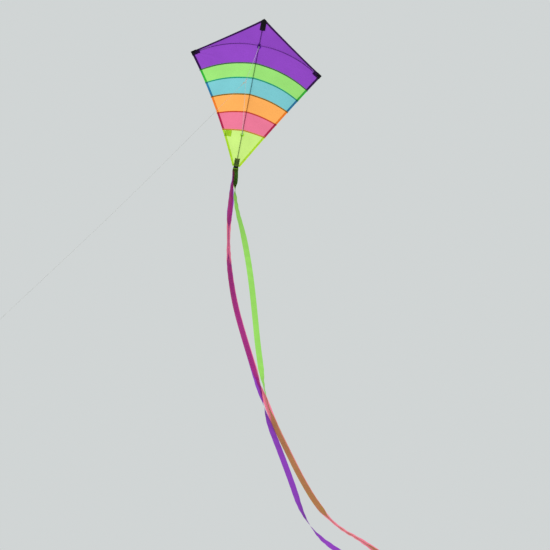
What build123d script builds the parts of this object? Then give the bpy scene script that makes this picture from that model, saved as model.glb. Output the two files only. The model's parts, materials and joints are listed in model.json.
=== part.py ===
"""Diamond kite with a bowed cross spar, a two-leg bridle, a flying line and three ribbon tails.

Millimetres. The origin is where the two spars cross, on the axis of the spine.
+Z runs up the spine to the nose, -Y is the side that faces the wind and the flyer,
and +X is to the right as the flyer sees it.
"""

import math
import os

from build123d import *

# ---- sail ---------------------------------------------------------------------------------
NOSE_Z = 124.5  # the nose above the spar crossing
TAIL_Z = -585.0  # the cut end of the sail below it
TIP_X = 296.0  # half the wing span
TIP_Z = -60.3
TAIL_HALF_WIDTH = 16.5
SAIL_BACK_Y = -4.0  # the sail's back face where it passes the spine
SAIL_THICKNESS = 0.4
SAIL_BOW = 86.0  # how far the wing tips stand behind the middle of the sail
LEADING_EDGE_HOLLOW = 5.0  # how far each edge curves in from a straight line
LOWER_EDGE_HOLLOW = 10.0
BAND_SEAMS = {  # each band's top edge, from the nose down: its height on the spine and its radius
    "purple": None,
    "green": (-90.0, 570.0),
    "turquoise": (-160.0, 510.0),
    "orange": (-239.0, 490.0),
    "pink": (-323.0, 440.0),
    "lime": (-410.5, 700.0),
}
SAIL_REACH = 130.0  # more than the sail's depth, front to back

# ---- spars --------------------------------------------------------------------------------
SPINE_RADIUS = 2.0
SPREADER_RADIUS = 1.5
SPREADER_Y = 4.6  # the spreader passes behind the spine
BOW_HALF_SPAN = 283.0  # half the straight distance between the spreader's ends
BOW_BACK = 74.5  # its ends stand this far behind its middle
BOW_DOWN = 66.0  # and this far below it
CAP_WALL = 0.6
CAP_LENGTH = 12.0
CAP_END = 2.0  # solid end beyond the rod
FITTING_SIZE = (12.0, 8.6, 12.0)
FITTING_FRONT_Y = -1.2  # the fitting's slot lets it snap over the spine
ROD_CLEARANCE = 0.1

# ---- webbing ------------------------------------------------------------------------------
WEB_THICKNESS = 1.1
WEB_GAP = 0.1  # between the sail and what is sewn on it
POCKET_WALL = 1.2
NOSE_WEB = (24.0, 55.0)
TAIL_WEB = (22.0, 39.0)
WING_WEB = (36.0, 20.0)
WING_SLEEVE_LENGTH = 16.0
LABEL_SIZE = 29.0
LABEL_CENTRE = (-63.5, -434.5)
PATCH_RADIUS = 9.0
PATCH_THICKNESS = 0.4

# ---- bridle and tow ring ------------------------------------------------------------------
BRIDLE_RADIUS = 0.8
TIGHT_TURN = 0.9  # the cord thins a little where it is pulled round the ring
EYELET_RADIUS = 1.3
UPPER_TIE_Z = -12.0
LOWER_TIE_Z = -435.0
BRIDLE_AXIS_Y = -7.0  # both legs start on this line, just in front of the sail
RING_CENTRE = Vector(-26.0, -150.0, -236.0)
RING_RADIUS = 5.4
RING_WIRE = 1.1

# ---- snap swivel --------------------------------------------------------------------------
WIRE_RADIUS = 0.45
SNAP_HALF_WIDTH = 2.6
SNAP_LENGTH = 15.0
SHANK_LENGTH = 1.5
BARREL_RADIUS = 2.2
BARREL_LENGTH = 7.0
BARREL_WALL = 0.9
EYE_RADIUS = 2.2
RUNNING_GAP = 0.08

# ---- flying line --------------------------------------------------------------------------
LINE_RADIUS = 0.5
LINE_END = Vector(-796.0, -1300.0, -1892.0)
LINE_SAG = 20.0
LINE_LOOP = (2.6, 12.0)  # half width and length of the loop in the swivel's eye
HAND_LOOP = (9.0, 52.0)  # and of the loop at the far end
KNOT_RADIUS = 1.7
KNOT_LENGTH = 5.0

# ---- ribbon tails -------------------------------------------------------------------------
RIBBON_WIDTH = 25.0
RIBBON_THICKNESS = 0.3
FLAP_AXIS_Z = -588.0
HEADER_TOP_Z = -589.5
HEADER_SIZE = (27.0, 5.4, 20.0)
HEADER_WALL = 0.8
SWAY_AXIS_Z = -602.0
RIBBON_TOP_Z = -595.5
RIBBON_LAYERS = {"green": -1.1, "pink": 0.0, "purple": 1.1}
RIBBON_ROUTES = {  # down each ribbon's middle, (x, z)
    "green": [
        (0, RIBBON_TOP_Z), (4, -652), (20, -720), (50, -799), (86, -870), (114, -965), (157, -1092),
        (203, -1246), (234, -1357), (272, -1472), (306, -1570), (362, -1677), (434, -1793),
        (520, -1912), (617, -2026), (722, -2104), (830, -2136), (935, -2182),
    ],
    "pink": [
        (0, RIBBON_TOP_Z), (-3, -648), (1, -718), (10, -790), (16, -858), (32, -950), (58, -1062),
        (107, -1206), (178, -1356), (252, -1499), (308, -1598), (372, -1706), (441, -1801),
        (528, -1922), (624, -2034), (728, -2108), (838, -2142), (950, -2198),
    ],
    "purple": [
        (0, RIBBON_TOP_Z), (-2, -655), (5, -732), (9, -800), (17, -862), (34, -960), (64, -1080),
        (112, -1215), (180, -1358), (232, -1480), (294, -1592), (350, -1702), (419, -1807),
        (500, -1944), (566, -2064), (648, -2150), (738, -2194), (836, -2240),
    ],
}

PARTS = {}


def keep(name, shape):
    """Files a finished solid under its node's name."""
    shape.label = name
    PARTS[name] = shape


# ---- shared shapes ------------------------------------------------------------------------
SAIL_RADIUS = (TIP_X**2 + SAIL_BOW**2) / (2 * SAIL_BOW)


def shell(front, back):
    """The bowed skin between two depths behind the sail's back face; front is the smaller."""
    axis_y = SAIL_BACK_Y + SAIL_RADIUS
    height = 3 * (NOSE_Z - TAIL_Z)
    skin = Cylinder(SAIL_RADIUS - front, height) - Cylinder(SAIL_RADIUS - back, height)
    return Pos(0, axis_y, 0) * skin


def on_sail(face, front, back):
    """A flat outline, drawn as (x, z), laid on the bowed sail between two depths."""
    prism = extrude(Plane.XZ * face, SAIL_REACH, both=True)
    return (prism & shell(front, back)).solid()


def hollow_edge(start, end, hollow):
    """An edge that curves in towards the middle of the sail."""
    a = Vector(*start)
    b = Vector(*end)
    inward = (b - a).rotate(Axis.Z, -90).normalized()
    return ThreePointArc(a, (a + b) / 2 + inward * hollow, b)


def sail_outline():
    nose = (0, NOSE_Z)
    right = (TIP_X, TIP_Z)
    left = (-TIP_X, TIP_Z)
    tail_right = (TAIL_HALF_WIDTH, TAIL_Z)
    tail_left = (-TAIL_HALF_WIDTH, TAIL_Z)
    edges = [
        hollow_edge(nose, right, LEADING_EDGE_HOLLOW),
        hollow_edge(right, tail_right, LOWER_EDGE_HOLLOW),
        Line(tail_right, tail_left),
        hollow_edge(tail_left, left, LOWER_EDGE_HOLLOW),
        hollow_edge(left, nose, LEADING_EDGE_HOLLOW),
    ]
    return make_face(edges)


def wire_along(path, radius):
    """A round wire or cord along a path."""
    start = Plane(origin=path @ 0, z_dir=path % 0)
    return sweep(start * Circle(radius), path=path)


def rod_between(start, end, radius):
    direction = end - start
    rod = Cylinder(radius, direction.length, align=(Align.CENTER, Align.CENTER, Align.MIN))
    return Plane(origin=start, z_dir=direction) * rod


def stadium(place, half_width, length, radius):
    """A closed loop of wire in a plane, from its origin along its x direction."""
    near = half_width
    far = length - half_width
    with BuildLine(place) as loop:
        Line((near, half_width), (far, half_width))
        ThreePointArc((far, half_width), (length, 0), (far, -half_width))
        Line((far, -half_width), (near, -half_width))
        ThreePointArc((near, -half_width), (0, 0), (near, half_width))
    return wire_along(loop.wire(), radius)


def route_radii(points):
    """The largest arc that each corner's two runs allow."""
    radii = []
    for before, corner, after in zip(points, points[1:], points[2:]):
        arriving = corner - before
        leaving = after - corner
        half_turn = math.radians(arriving.get_angle(leaving)) / 2
        run = min(arriving.length, leaving.length)
        radii.append(0.45 * run / math.tan(half_turn))
    return radii


def route(name, points):
    """Straight runs joined by tangent arcs."""
    radii = route_radii(points)
    path = FilletPolyline(*points, radius=radii)
    print(f"{name}: length {path.length:.0f}, smallest radius {min(radii):.0f}")
    return path


# ---- sail panels --------------------------------------------------------------------------
def seam_disc(top, radius):
    return Pos(0, top - radius) * Circle(radius)


def eyelet(height, radius=EYELET_RADIUS):
    """A hole through the sail for a bridle tie."""
    return Pos(0, SAIL_BACK_Y, height) * Rot(90, 0, 0) * Cylinder(radius, 8 * SAIL_THICKNESS)


def make_panels():
    outline = sail_outline()
    names = list(BAND_SEAMS)
    for name, below in zip(names, names[1:] + [None]):
        band = outline
        if BAND_SEAMS[name] is not None:
            band = band & seam_disc(*BAND_SEAMS[name])
        if below is not None:
            band = band - seam_disc(*BAND_SEAMS[below])
        panel = on_sail(band, -SAIL_THICKNESS, 0)
        if name == "purple":
            panel = panel - eyelet(UPPER_TIE_Z)
        if name == "lime":
            panel = panel - eyelet(LOWER_TIE_Z)
        keep(f"panel_{name}", panel.solid())


# ---- spars --------------------------------------------------------------------------------
BOW_DEPTH = math.hypot(BOW_BACK, BOW_DOWN)
BOW_RADIUS = (BOW_HALF_SPAN**2 + BOW_DEPTH**2) / (2 * BOW_DEPTH)
BOW_HALF_ANGLE = math.degrees(math.asin(BOW_HALF_SPAN / BOW_RADIUS))
# local x across the kite, local y from the bow's middle back and down to its centre
BOW_PLANE = Plane(
    origin=(0, SPREADER_Y, 0),
    x_dir=(1, 0, 0),
    z_dir=Vector(1, 0, 0).cross(Vector(0, BOW_BACK, -BOW_DOWN)),
)


def along_bow(distance):
    """The angle that a length along the rod takes up."""
    return math.degrees(distance / BOW_RADIUS)


def bow(radius, start, end):
    """A round bar along the bowed spreader, between two angles from its middle."""

    def at(angle):
        turn = math.radians(angle)
        return BOW_RADIUS * math.sin(turn), BOW_RADIUS * (1 - math.cos(turn))

    with BuildLine(BOW_PLANE) as arc:
        ThreePointArc(at(start), at((start + end) / 2), at(end))
    return wire_along(arc.wire(), radius)


SPINE_TOP = NOSE_Z - 8.5
SPINE_BOTTOM = TAIL_Z + 8.0
CAP_GRIP = CAP_LENGTH - CAP_END  # how far the rod goes into its cap


def upright(radius, bottom, top):
    """A round bar on the spine's axis."""
    align = (Align.CENTER, Align.CENTER, Align.MIN)
    return Pos(0, 0, bottom) * Cylinder(radius, top - bottom, align=align)


def make_spars():
    spine = upright(SPINE_RADIUS, SPINE_BOTTOM, SPINE_TOP)
    keep("spine_rod", spine)
    cap = SPINE_RADIUS + CAP_WALL
    keep("spine_cap_nose", upright(cap, SPINE_TOP - CAP_GRIP, SPINE_TOP + CAP_END) - spine)
    keep("spine_cap_tail", upright(cap, SPINE_BOTTOM - CAP_END, SPINE_BOTTOM + CAP_GRIP) - spine)

    spreader = bow(SPREADER_RADIUS, -BOW_HALF_ANGLE, BOW_HALF_ANGLE)
    keep("spreader_rod", spreader)
    inner = BOW_HALF_ANGLE - along_bow(CAP_GRIP)
    outer = BOW_HALF_ANGLE + along_bow(CAP_END)
    cap = SPREADER_RADIUS + CAP_WALL
    keep("spreader_cap_right", bow(cap, inner, outer) - spreader)
    keep("spreader_cap_left", bow(cap, -outer, -inner) - spreader)


def make_cross_fitting():
    """A moulded block that snaps over the spine and carries the spreader through it."""
    width, depth, height = FITTING_SIZE
    block = Pos(0, FITTING_FRONT_Y + depth / 2, 0) * Box(width, depth, height)
    block = fillet(block.edges().filter_by(Axis.Y), 2.0)
    half = along_bow(width)
    block -= upright(SPINE_RADIUS + ROD_CLEARANCE, -height, height)
    block -= bow(SPREADER_RADIUS + ROD_CLEARANCE, -half, half)
    keep("cross_fitting", block)


# ---- webbing pockets, label and patches ---------------------------------------------------
def make_spine_pockets():
    outline = sail_outline()
    cap = SPINE_RADIUS + CAP_WALL + ROD_CLEARANCE
    sleeve = cap + POCKET_WALL
    web_back = WEB_GAP + WEB_THICKNESS

    width, length = NOSE_WEB
    strip = Pos(0, NOSE_Z - length / 2) * Rectangle(width, length)
    top = SPINE_TOP + CAP_END + ROD_CLEARANCE
    pocket = on_sail(outline & strip, WEB_GAP, web_back)
    pocket += upright(sleeve, NOSE_Z - length, top + POCKET_WALL) & shell(WEB_GAP, 20)
    pocket -= upright(cap, NOSE_Z - 2 * length, top)
    keep("nose_pocket", pocket)

    width, length = TAIL_WEB
    strip = Pos(0, TAIL_Z + length / 2) * Rectangle(width, length)
    bottom = SPINE_BOTTOM - CAP_END - ROD_CLEARANCE
    pocket = on_sail(outline & strip, WEB_GAP, web_back)
    pocket += upright(sleeve, bottom - POCKET_WALL, TAIL_Z + length) & shell(WEB_GAP, 20)
    pocket -= upright(cap, bottom, TAIL_Z + 2 * length)
    keep("tail_pocket", pocket)


def make_wing_pockets():
    """Each has a web sewn to the sail's corner and a sleeve that takes the spreader's end."""
    outline = sail_outline()
    length, width = WING_WEB
    cap = SPREADER_RADIUS + CAP_WALL + ROD_CLEARANCE
    sleeve_radius = cap + POCKET_WALL
    inner = BOW_HALF_ANGLE + along_bow(CAP_END - WING_SLEEVE_LENGTH)
    outer = BOW_HALF_ANGLE + along_bow(CAP_END + ROD_CLEARANCE)
    closed = outer + along_bow(POCKET_WALL)
    slope = math.degrees(math.atan2(-BOW_DOWN, TIP_X)) * 1.9
    for side, sign in (("right", 1), ("left", -1)):
        middle = Pos(sign * (TIP_X - length / 2), TIP_Z - 3.0) * Rot(0, 0, sign * slope)
        strip = outline & (middle * Rectangle(length + 8, width))
        angles = sorted((sign * inner, sign * closed))
        hole = sorted((sign * (inner - along_bow(5)), sign * outer))
        pocket = on_sail(strip, WEB_GAP, WEB_GAP + WEB_THICKNESS)
        pocket += bow(sleeve_radius, *angles)
        pocket -= bow(cap, *hole)
        keep(f"wing_pocket_{side}", pocket)


def make_label_and_patches():
    front = -SAIL_THICKNESS - WEB_GAP - PATCH_THICKNESS
    back = -SAIL_THICKNESS - WEB_GAP
    label = Pos(*LABEL_CENTRE) * Rectangle(LABEL_SIZE, LABEL_SIZE)
    keep("label_patch", on_sail(label, front, back))
    for name, height in (("upper", UPPER_TIE_Z), ("lower", LOWER_TIE_Z)):
        disc = Pos(0, height) * (Circle(PATCH_RADIUS) - Circle(EYELET_RADIUS))
        keep(f"{name}_eyelet_patch", on_sail(disc, front, back))


# ---- bridle -------------------------------------------------------------------------------
RING_FORWARD = Vector(RING_CENTRE.X, RING_CENTRE.Y - BRIDLE_AXIS_Y, 0).normalized()
RING_AXIS = RING_FORWARD.cross(Vector(0, 0, 1))


def make_ties():
    """The cord's turn round the spine and its short way out through the sail."""
    turn = SPINE_RADIUS + ROD_CLEARANCE + BRIDLE_RADIUS
    for name, height in (("upper", UPPER_TIE_Z), ("lower", LOWER_TIE_Z)):
        tie = Pos(0, 0, height) * Torus(turn, BRIDLE_RADIUS)
        start = Vector(0, -turn, height)
        tie += rod_between(start, start + Vector(0, -2.7, 0), BRIDLE_RADIUS)
        keep(f"{name}_tie", tie)


def make_bridle():
    """Two legs of cord, each looped on the ring, and the ring."""
    ring = Torus(RING_RADIUS, RING_WIRE)
    keep("tow_ring", Plane(origin=RING_CENTRE, z_dir=RING_AXIS) * ring)
    loop = RING_WIRE + BRIDLE_RADIUS + 0.05
    for name, height in (("upper", UPPER_TIE_Z), ("lower", LOWER_TIE_Z)):
        anchor = Vector(0, BRIDLE_AXIS_Y, height)
        away = (anchor - RING_CENTRE).normalized()
        on_wire = RING_CENTRE + away * RING_RADIUS
        leg = Pos(*anchor) * Sphere(1.6 * BRIDLE_RADIUS)
        leg += rod_between(anchor, on_wire + away * loop, BRIDLE_RADIUS)
        turn = Plane(origin=on_wire, z_dir=RING_AXIS.cross(away))
        leg += turn * Torus(loop, TIGHT_TURN * BRIDLE_RADIUS)
        keep(f"bridle_{name}_leg", leg)


# ---- snap swivel and line -----------------------------------------------------------------
PULL = (LINE_END - RING_CENTRE).normalized()  # the way the line leaves the ring
IN_RING = (PULL - RING_AXIS * PULL.dot(RING_AXIS)).normalized()
ON_RING = RING_CENTRE + IN_RING * RING_RADIUS
SNAP_START = ON_RING - PULL * (RING_WIRE + WIRE_RADIUS + RUNNING_GAP)
SNAP_ACROSS = (RING_AXIS - PULL * RING_AXIS.dot(PULL)).normalized()
BARREL_START = SNAP_START + PULL * (SNAP_LENGTH + SHANK_LENGTH)
BARREL_END = BARREL_START + PULL * BARREL_LENGTH
EYE_CENTRE = BARREL_END + PULL * (SHANK_LENGTH + EYE_RADIUS)


def make_swivel():
    """A wire snap fixed in a barrel, and an eye that turns in the barrel's far end."""
    place = Plane(origin=SNAP_START, x_dir=PULL, z_dir=PULL.cross(SNAP_ACROSS))
    snap = stadium(place, SNAP_HALF_WIDTH, SNAP_LENGTH, WIRE_RADIUS)
    neck = SNAP_START + PULL * SNAP_LENGTH
    snap += rod_between(neck, BARREL_START, WIRE_RADIUS)
    keep("snap_hook", snap)

    barrel = rod_between(BARREL_START, BARREL_END, BARREL_RADIUS)
    barrel = fillet(barrel.edges(), 0.8)
    cavity_start = BARREL_START + PULL * (BARREL_LENGTH / 2)
    cavity_end = BARREL_END - PULL * BARREL_WALL
    barrel -= rod_between(cavity_start, cavity_end, BARREL_RADIUS - BARREL_WALL)
    barrel -= rod_between(cavity_end, BARREL_END, WIRE_RADIUS + RUNNING_GAP)
    keep("swivel_barrel", barrel)

    eye = Plane(origin=EYE_CENTRE, z_dir=SNAP_ACROSS) * Torus(EYE_RADIUS, WIRE_RADIUS)
    head_start = cavity_start + PULL * RUNNING_GAP
    head_end = cavity_end - PULL * RUNNING_GAP
    eye += rod_between(head_start, head_end, BARREL_RADIUS - BARREL_WALL - RUNNING_GAP)
    eye += rod_between(head_end, EYE_CENTRE - PULL * EYE_RADIUS, WIRE_RADIUS)
    keep("swivel_eye", eye)


def knot(start, direction):
    """A tied knot, as a rounded barrel round the cord."""
    body = rod_between(start, start + direction * KNOT_LENGTH, KNOT_RADIUS)
    return fillet(body.edges(), 1.2)


def make_line():
    """The line's loop and knot at the swivel, the taut line, and the knotted hand loop."""
    half_width, length = LINE_LOOP
    loop_start = EYE_CENTRE + PULL * (EYE_RADIUS - WIRE_RADIUS - RUNNING_GAP - LINE_RADIUS)
    place = Plane(origin=loop_start, x_dir=PULL, z_dir=PULL.cross(SNAP_ACROSS))
    keep("line_loop", stadium(place, half_width, length, LINE_RADIUS))
    knot_start = loop_start + PULL * (length + LINE_RADIUS)
    keep("line_knot", knot(knot_start, PULL))

    start = knot_start + PULL * KNOT_LENGTH
    third = (LINE_END - start) / 3
    sag = Vector(0, 0, -LINE_SAG)
    points = [start, start + third + sag, start + third * 2 + sag, LINE_END]
    print("line from", tuple(start), "to", tuple(LINE_END))
    keep("flying_line", wire_along(route("flying line", points), LINE_RADIUS))

    away = (points[-1] - points[-2]).normalized()
    keep("hand_knot", knot(LINE_END, away))
    half_width, length = HAND_LOOP
    loop_start = LINE_END + away * (KNOT_LENGTH + LINE_RADIUS)
    place = Plane(origin=loop_start, x_dir=away, z_dir=away.cross(Vector(0, 0, 1)))
    keep("hand_loop", stadium(place, half_width, length, LINE_RADIUS))


# ---- ribbon tails -------------------------------------------------------------------------
def make_ribbons():
    """A folded header at the foot of the sail, and three ribbons in layers inside it."""
    width, depth, height = HEADER_SIZE
    header = Pos(0, 0, HEADER_TOP_Z - height / 2) * Box(width, depth, height)
    slot = Box(2 * width, depth - 2 * HEADER_WALL, height)
    header -= Pos(0, 0, HEADER_TOP_Z - height / 2 - 2 * HEADER_WALL) * slot
    keep("ribbon_header", header)

    for colour, layer in RIBBON_LAYERS.items():
        points = [Vector(x, z) for x, z in RIBBON_ROUTES[colour]]
        path = route(f"{colour} ribbon", points)
        band = Plane.XZ * trace(path, RIBBON_WIDTH)
        strip = extrude(band, RIBBON_THICKNESS / 2, both=True)
        keep(f"ribbon_{colour}", Pos(0, layer, 0) * strip)


make_panels()
make_spars()
make_cross_fitting()
make_spine_pockets()
make_wing_pockets()
make_label_and_patches()
make_ties()
make_bridle()
make_swivel()
make_line()
make_ribbons()
print("bridle turns about +Z through", (0, BRIDLE_AXIS_Y, UPPER_TIE_Z))
print("snap turns about", tuple(RING_AXIS), "through", tuple(RING_CENTRE))
print("eye turns about", tuple(PULL), "through", tuple(BARREL_END))
print("tails flap about +X at z", FLAP_AXIS_Z, "and sway about +Y at z", SWAY_AXIS_Z)

os.makedirs("parts", exist_ok=True)
for name, shape in PARTS.items():
    export_step(shape, f"parts/{name}.step")
print(len(PARTS), "nodes")
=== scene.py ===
"""Looks of the diamond kite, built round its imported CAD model. Metres, in the CAD frame.

The origin is where the spars cross, +Z runs up the spine to the nose, -Y is the side that
faces the wind, and +X is to the right as the flyer sees the kite.
"""
import json
import math

import bmesh
import bpy
import numpy as np
from mathutils import Matrix, Vector


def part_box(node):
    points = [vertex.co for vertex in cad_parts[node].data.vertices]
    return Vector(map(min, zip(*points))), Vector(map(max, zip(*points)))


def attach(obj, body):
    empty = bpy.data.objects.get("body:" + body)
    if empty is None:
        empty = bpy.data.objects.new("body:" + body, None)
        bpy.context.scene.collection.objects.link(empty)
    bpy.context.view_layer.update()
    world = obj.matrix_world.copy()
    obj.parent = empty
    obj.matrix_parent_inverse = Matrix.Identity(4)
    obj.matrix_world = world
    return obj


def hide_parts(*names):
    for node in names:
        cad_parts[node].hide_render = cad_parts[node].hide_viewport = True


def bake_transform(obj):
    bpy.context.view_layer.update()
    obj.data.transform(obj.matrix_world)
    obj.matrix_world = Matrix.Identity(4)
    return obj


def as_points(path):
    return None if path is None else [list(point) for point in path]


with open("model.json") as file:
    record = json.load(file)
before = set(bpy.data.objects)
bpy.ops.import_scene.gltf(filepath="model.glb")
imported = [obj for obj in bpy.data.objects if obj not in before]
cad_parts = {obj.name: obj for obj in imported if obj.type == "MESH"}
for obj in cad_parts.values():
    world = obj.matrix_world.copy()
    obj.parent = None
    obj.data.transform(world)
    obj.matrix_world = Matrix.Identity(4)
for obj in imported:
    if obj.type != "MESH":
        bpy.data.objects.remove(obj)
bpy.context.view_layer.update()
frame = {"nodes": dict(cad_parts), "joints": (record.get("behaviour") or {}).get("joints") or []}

MM = 0.001
SEED = 11
BOTH = (-1, 1)  # the left side and the right side
FULL_TURN = 2 * math.pi
JOINTS = {joint["name"]: joint for joint in frame["joints"]}

# ---- camera ----
SAIL_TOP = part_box("panel_purple")[1]
NOSE_Z = SAIL_TOP.z
TIP_X = SAIL_TOP.x
TAIL_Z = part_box("panel_lime")[0].z
MID_Y = -0.0044  # the cloth where it passes in front of the spine

RISE = math.radians(18.0)  # the flyer looks up at the kite by this much
ROLL = math.radians(10.6)  # and sees it lean to the left
RIGHT = Vector((1, 0, 0))
UP = Vector((0, -math.sin(RISE), math.cos(RISE)))
TO_FLYER = Vector((0, -math.cos(RISE), -math.sin(RISE)))
VIEW_WIDTH = 2.449
VIEW_DISTANCE = 15.0
VIEW_RIGHT, VIEW_DOWN = 0.2556, 1.112  # from the nose to the picture's middle
SENSOR_WIDTH = 36.0
FARTHEST_SEEN = 300.0


def make_camera():
    data = bpy.data.cameras.new("camera")
    data.sensor_width = SENSOR_WIDTH
    data.lens = SENSOR_WIDTH * VIEW_DISTANCE / VIEW_WIDTH
    data.clip_end = FARTHEST_SEEN
    camera = bpy.data.objects.new("camera", data)
    bpy.context.scene.collection.objects.link(camera)
    middle = Vector((0, MID_Y, NOSE_Z)) + VIEW_RIGHT * RIGHT - VIEW_DOWN * UP
    right = math.cos(ROLL) * RIGHT + math.sin(ROLL) * UP
    up = math.cos(ROLL) * UP - math.sin(ROLL) * RIGHT
    axes = Matrix((right, up, TO_FLYER)).transposed()
    camera.matrix_world = Matrix.Translation(middle + VIEW_DISTANCE * TO_FLYER) @ axes.to_4x4()
    bpy.context.scene.camera = camera


# ---- materials ----
class Graph:
    """Builds one material's nodes."""

    def __init__(self, name):
        self.material = bpy.data.materials.new(name)
        self.material.use_nodes = True
        self.tree = self.material.node_tree
        self.tree.nodes.clear()
        self.place = self.add("TexCoord").outputs["Object"]

    def add(self, kind, inputs=None, **settings):
        node = self.tree.nodes.new("ShaderNode" + kind)
        for key, value in settings.items():
            setattr(node, key, value)
        for key, value in (inputs or {}).items():
            if isinstance(value, bpy.types.NodeSocket):
                self.tree.links.new(value, node.inputs[key])
            else:
                node.inputs[key].default_value = value
        return node

    def cloth(self):
        """Distances across and along the cloth."""
        where = self.add("SeparateXYZ", {0: self.add("UVMap", uv_map="cloth").outputs[0]})
        return where.outputs[0], where.outputs[1]

    def math(self, operation, a, b):
        return self.add("Math", {0: a, 1: b}, operation=operation).outputs[0]

    def waves(self, distance, length):
        return self.math("SINE", self.math("MULTIPLY", distance, FULL_TURN / length), 0.0)

    def remap(self, value, low, high, to_low, to_high):
        inputs = {0: value, 1: low, 2: high, 3: to_low, 4: to_high}
        return self.add("MapRange", inputs).outputs[0]

    def noise(self, scale, detail, rough=0.6):
        """Noise over the object. scale is one number, or one for each axis."""
        where = self.place
        if isinstance(scale, tuple):
            where, scale = self.add("Mapping", {"Vector": where, "Scale": scale}).outputs[0], 1.0
        inputs = {"Vector": where, "Scale": scale, "Detail": detail, "Roughness": rough}
        return self.add("TexNoise", inputs).outputs[0]

    def tint(self, colour, factor):
        """A colour times a grey value."""
        node = self.add("VectorMath", {0: colour, "Scale": factor}, operation="SCALE")
        return node.outputs[0]

    def patchy(self, noise, low, high, colour, other, most=1.0):
        """A colour that turns into another one where the noise is high."""
        share = self.remap(noise, low, high, 0.0, most)
        inputs = {0: share, 6: (*colour, 1.0), 7: (*other, 1.0)}
        return self.add("Mix", inputs, data_type="RGBA").outputs[2]

    def bump(self, height, distance, strength, normal=None):
        inputs = {"Height": height, "Distance": distance, "Strength": strength}
        if normal is not None:
            inputs["Normal"] = normal
        return self.add("Bump", inputs).outputs[0]

    def surface(self, colour, roughness, normal, more=None):
        inputs = {"Base Color": colour, "Roughness": roughness, "Normal": normal, **(more or {})}
        return self.add("BsdfPrincipled", inputs).outputs[0]

    def glow(self, colour, normal):
        """Light that comes through from behind."""
        return self.add("BsdfTranslucent", {"Color": colour, "Normal": normal}).outputs[0]

    def mix(self, share, one, other):
        return self.add("MixShader", {0: share, 1: one, 2: other}).outputs[0]

    def finish(self, shader):
        self.add("OutputMaterial", {"Surface": shader})
        return self.material


def ripstop(name, colour, clear, solid=0.12):
    """Thin coated cloth that glows when lit from behind. clear is the share of light that
    goes straight through, and solid the share that it sends back."""
    g = Graph(name)
    u, v = g.cloth()
    # reinforcing threads every 5 mm both ways, over a fine plain weave
    threads = [g.math("PINGPONG", c, 2.5 * MM) for c in (u, v)]
    grid = g.math("MAXIMUM", *(g.remap(t, 2.1 * MM, 2.45 * MM, 0, 1) for t in threads))
    weave = g.math("MULTIPLY", g.waves(u, 0.36 * MM), g.waves(v, 0.36 * MM))
    broad = g.remap(g.noise(9.0, 3.0, 0.5), 0.3, 0.7, 0.94, 1.04)
    fine = g.noise(160.0, 4.0)
    shade = g.math("MULTIPLY", broad, g.remap(fine, 0.3, 0.7, 0.965, 1.03))
    shade = g.math("MULTIPLY", shade, g.remap(grid, 0, 1, 1.0, 0.93))
    tinted = g.tint(colour, shade)
    normal = g.bump(g.noise(42.0, 5.0, 0.62), 1.6 * MM, 0.55)
    normal = g.bump(grid, 0.05 * MM, 0.8, normal)
    normal = g.bump(weave, 0.02 * MM, 0.5, normal)
    rough = g.remap(fine, 0.3, 0.7, 0.38, 0.52)
    body = g.surface(tinted, rough, normal, {"Specular IOR Level": 0.35, "Sheen Weight": 0.08})
    cloth_light = g.mix(solid / (1.0 - clear), g.glow(tinted, normal), body)
    through = g.add("BsdfTransparent", {"Color": tinted}).outputs[0]
    return g.finish(g.mix(clear, cloth_light, through))


def webbing(name, colour):
    """Heavy woven tape, with ribs across it and a herringbone between them."""
    g = Graph(name)
    u, v = g.cloth()
    ribs = g.waves(v, 0.9 * MM)
    yarn = g.waves(g.math("ADD", g.math("PINGPONG", u, 3.0 * MM), v), 0.5 * MM)
    fine = g.noise(900.0, 3.0)
    dusty = [c + 0.009 for c in colour]
    shade = g.patchy(g.noise(70.0, 4.0), 0.45, 0.75, colour, dusty, 0.7)
    shade = g.tint(shade, g.remap(yarn, -1, 1, 0.75, 1.15))
    height = g.math("ADD", g.math("MULTIPLY", ribs, 0.5), g.math("MULTIPLY", yarn, 0.5))
    normal = g.bump(height, 0.12 * MM, 0.8)
    normal = g.bump(fine, 0.08 * MM, 0.5, normal)
    rough = g.remap(fine, 0.3, 0.7, 0.72, 0.9)
    dry = {"Specular IOR Level": 0.15, "Sheen Weight": 0.04, "Sheen Roughness": 0.5}
    return g.finish(g.surface(shade, rough, normal, dry))


def yarn_material(name, colour, through):
    """Polyester cord or thread: fine filaments along it, and a soft sheen."""
    g = Graph(name)
    fine = g.noise(2600.0, 3.0, 0.7)
    dull = [c * 0.8 for c in colour]
    shade = g.patchy(g.noise(30.0, 3.0, 0.5), 0.4, 0.75, colour, dull, 0.8)
    shade = g.tint(shade, g.remap(fine, 0.3, 0.7, 0.85, 1.1))
    normal = g.bump(fine, 0.06 * MM, 0.6)
    body = g.surface(shade, 0.55, normal, {"Sheen Weight": 0.2})
    return g.finish(g.mix(through, body, g.glow(shade, normal)))


def rod_material():
    """Pulled fibreglass: grey resin with long pale fibres, that lets some light through."""
    g = Graph("fibreglass_rod")
    fibres = g.noise((1400.0, 1400.0, 12.0), 4.0)
    shade = g.patchy(fibres, 0.45, 0.8, (0.27, 0.27, 0.275), (0.46, 0.46, 0.47))
    normal = g.bump(fibres, 0.04 * MM, 0.4)
    rough = g.remap(g.noise(220.0, 5.0, 0.7), 0.35, 0.7, 0.22, 0.5)
    body = g.surface(shade, rough, normal, {"Coat Weight": 0.3, "Coat Roughness": 0.2})
    return g.finish(g.mix(0.45, body, g.glow(shade, normal)))


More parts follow.
